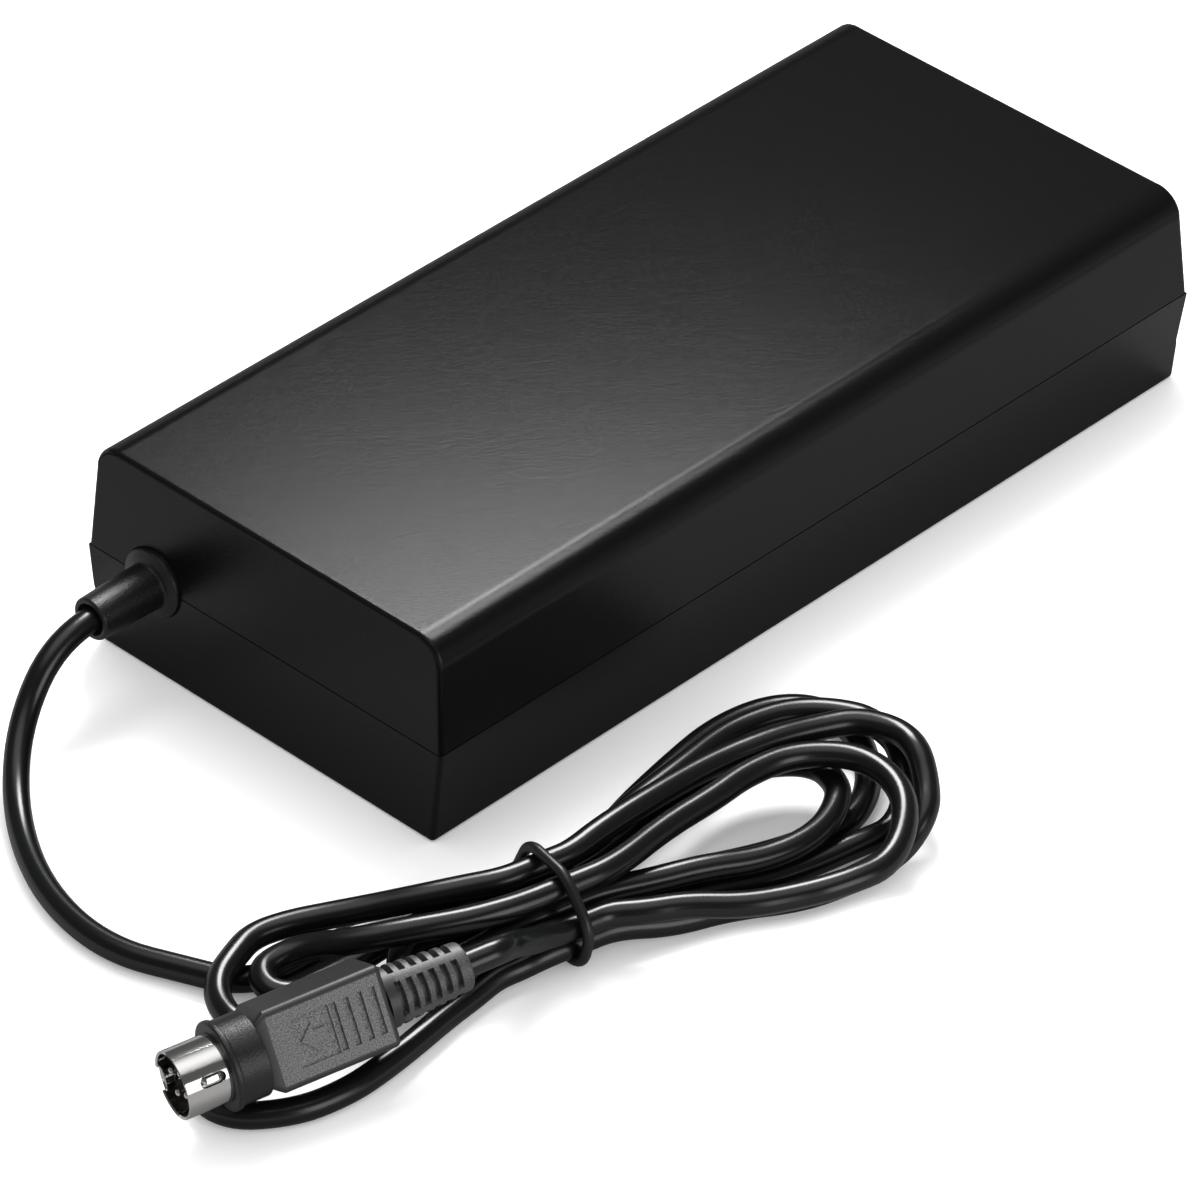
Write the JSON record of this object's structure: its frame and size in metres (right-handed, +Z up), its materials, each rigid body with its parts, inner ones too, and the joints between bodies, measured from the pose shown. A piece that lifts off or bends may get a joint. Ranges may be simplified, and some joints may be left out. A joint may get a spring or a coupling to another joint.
{
  "type": "laptop power adapter",
  "caption": "Black brick power supply for a laptop, with a mains inlet in one end and a coiled output cord that ends in a round locking plug.",
  "frame": {"origin": "centre of the case's underside, at the height of the ground it lies on", "axes": "+X across the case to the right of the strain relief end seen from above, +Y along the case from the output cord's end to the mains inlet's end, +Z up"},
  "size_m": [0.1276, 0.2313, 0.0346],
  "materials": {
    "case_plastic": "matte",
    "moulded_black": "matte",
    "contact_metal": "polished",
    "board": "satin",
    "ceramic": "satin",
    "copper_wire": "gloss",
    "ferrite": "matte",
    "film_case": "satin",
    "ceramic_blue": "gloss",
    "can_sleeve": "gloss",
    "sheet_metal": "satin",
    "winding_tape": "satin",
    "wire_jacket": "satin",
    "cord_jacket": "satin",
    "cord_moulding": "matte",
    "ring_rubber": "satin",
    "shell_metal": "polished"
  },
  "bodies": {
    "adapter": {"top_cover": "case_plastic", "bottom_case": "case_plastic", "inlet_housing": "moulded_black", "inlet_line_pin": "contact_metal", "inlet_neutral_pin": "contact_metal", "inlet_earth_pin": "contact_metal", "circuit_board": "board", "fuse": "ceramic", "choke_winding": "copper_wire", "choke_core": "ferrite", "line_capacitor": "film_case", "safety_capacitors": "ceramic_blue", "bridge_rectifier": "moulded_black", "boost_inductor": "ferrite", "bulk_capacitor": "can_sleeve", "primary_heat_sink": "sheet_metal", "primary_transistors": "moulded_black", "transformer_core": "ferrite", "transformer_winding": "winding_tape", "secondary_heat_sink": "sheet_metal", "output_rectifier": "moulded_black", "output_capacitors": "can_sleeve", "control_chips": "moulded_black", "insulating_sheet": "film_case", "heat_spreader": "sheet_metal", "inlet_leads": "wire_jacket", "cord_tail": "cord_jacket", "case_strain_relief": "cord_moulding", "cord_free_stretch": "cord_jacket", "cord_hank": "cord_jacket", "tie_ring": "ring_rubber", "plug_shell": "shell_metal", "plug_insulator": "moulded_black", "plug_contacts": "contact_metal", "plug_collar": "cord_moulding", "plug_body": "cord_moulding"},
    "near_latch": {"latch_spring_near": "shell_metal"},
    "far_latch": {"latch_spring_far": "shell_metal"}
  },
  "joints": [
    {"name": "near_latch_press", "type": "slide", "parent": "adapter", "child": "near_latch", "axis": [-0.8356, 0.2653, -0.481], "range_m": [0, 0.0005], "stiffness_N_per_m": 2000},
    {"name": "far_latch_press", "type": "slide", "parent": "adapter", "child": "far_latch", "axis": [0.8356, -0.2653, 0.481], "range_m": [0, 0.0005], "stiffness_N_per_m": 2000}
  ]
}
